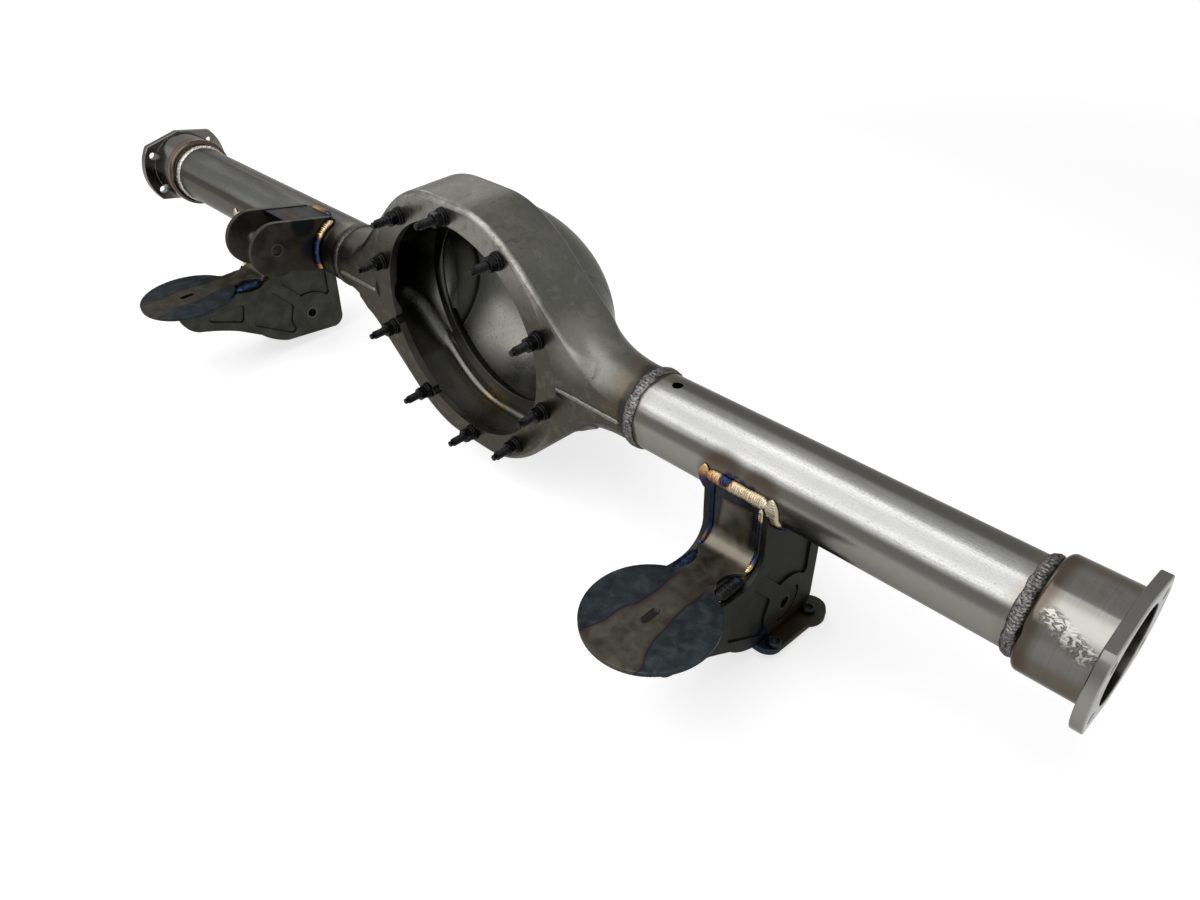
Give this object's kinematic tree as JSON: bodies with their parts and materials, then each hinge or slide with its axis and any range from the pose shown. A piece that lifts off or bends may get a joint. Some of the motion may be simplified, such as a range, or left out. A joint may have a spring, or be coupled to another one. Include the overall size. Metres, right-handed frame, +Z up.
{
  "type": "rear axle housing",
  "caption": "Bare welded drive axle housing: domed centre bowl with a studded carrier face, two tubes, flanged bearing ends, spring seats with link plates and an upper link clevis.",
  "frame": {"origin": "centre of the round carrier opening, in the plane of the carrier face", "axes": "-Y out of the carrier face, +X along the axle towards the end without the upper link clevis, +Z up, away from the lower link plates"},
  "size_m": [1.3965, 0.34, 0.3371],
  "materials": {
    "pressed_steel": "bare pressed steel, dark and slightly pitted",
    "bright_tube": "bare drawn tube, bright with brush marks",
    "grey_tube": "bare drawn tube, dull grey",
    "machined_end": "turned steel",
    "grey_bead": "rough grey weld bead",
    "tinted_bead": "rippled weld bead with straw and blue heat tint",
    "plate_steel": "hot rolled plate, near black",
    "seat_steel": "hot rolled plate with heat tint",
    "black_hardware": "black oxide"
  },
  "bodies": {
    "root": {"housing_body": "pressed_steel", "rear_cover": "pressed_steel", "inner_ring": "pressed_steel", "cover_weld": "grey_bead", "seam_right": "pressed_steel", "seam_left": "pressed_steel", "right_tube": "bright_tube", "left_tube": "grey_tube", "right_neck_weld": "grey_bead", "left_neck_weld": "grey_bead", "right_end_weld": "grey_bead", "left_end_weld": "grey_bead", "right_housing_end": "machined_end", "left_housing_end": "machined_end", "carrier_studs": "black_hardware", "stud_washers": "black_hardware", "stud_collars": "black_hardware", "stud_nuts": "black_hardware", "link_ear_inboard": "plate_steel", "link_ear_outboard": "plate_steel", "link_bridge": "seat_steel", "link_welds": "tinted_bead", "right_bracket_plate_outboard": "plate_steel", "right_bracket_plate_inboard": "plate_steel", "right_spring_seat": "seat_steel", "right_shock_plate": "plate_steel", "right_shock_bosses": "plate_steel", "right_bracket_welds": "tinted_bead", "left_bracket_plate_outboard": "plate_steel", "left_bracket_plate_inboard": "plate_steel", "left_spring_seat": "seat_steel", "left_shock_plate": "plate_steel", "left_shock_bosses": "plate_steel", "left_bracket_welds": "tinted_bead"}
  },
  "joints": []
}
